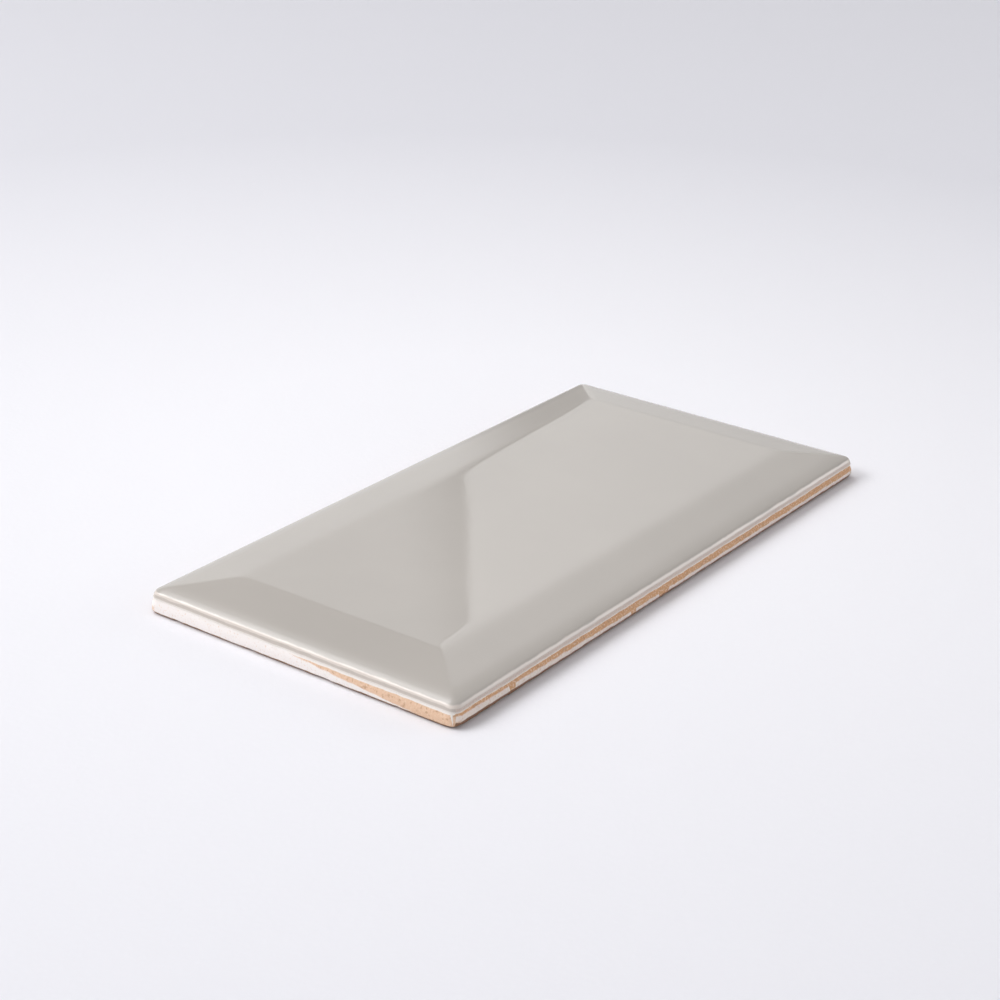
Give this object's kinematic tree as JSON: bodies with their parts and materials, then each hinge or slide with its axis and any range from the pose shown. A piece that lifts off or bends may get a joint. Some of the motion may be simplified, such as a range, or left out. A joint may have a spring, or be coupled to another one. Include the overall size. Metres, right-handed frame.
{
  "type": "bevelled wall tile",
  "caption": "Rectangular glazed ceramic wall tile with a flat field, bevelled border, rounded glazed shoulder and a grooved back for adhesive.",
  "frame": {"origin": "centre of the back, in the plane in which the tile is bedded", "axes": "+X along the long side, +Y along the short side, +Z out of the glazed face"},
  "size_m": [0.15, 0.075, 0.007],
  "materials": {
    "glazed_ceramic": "gloss glaze on the face and shoulder, bare fired clay below and on the back"
  },
  "bodies": {
    "root": {"tile": "glazed_ceramic"}
  },
  "joints": []
}
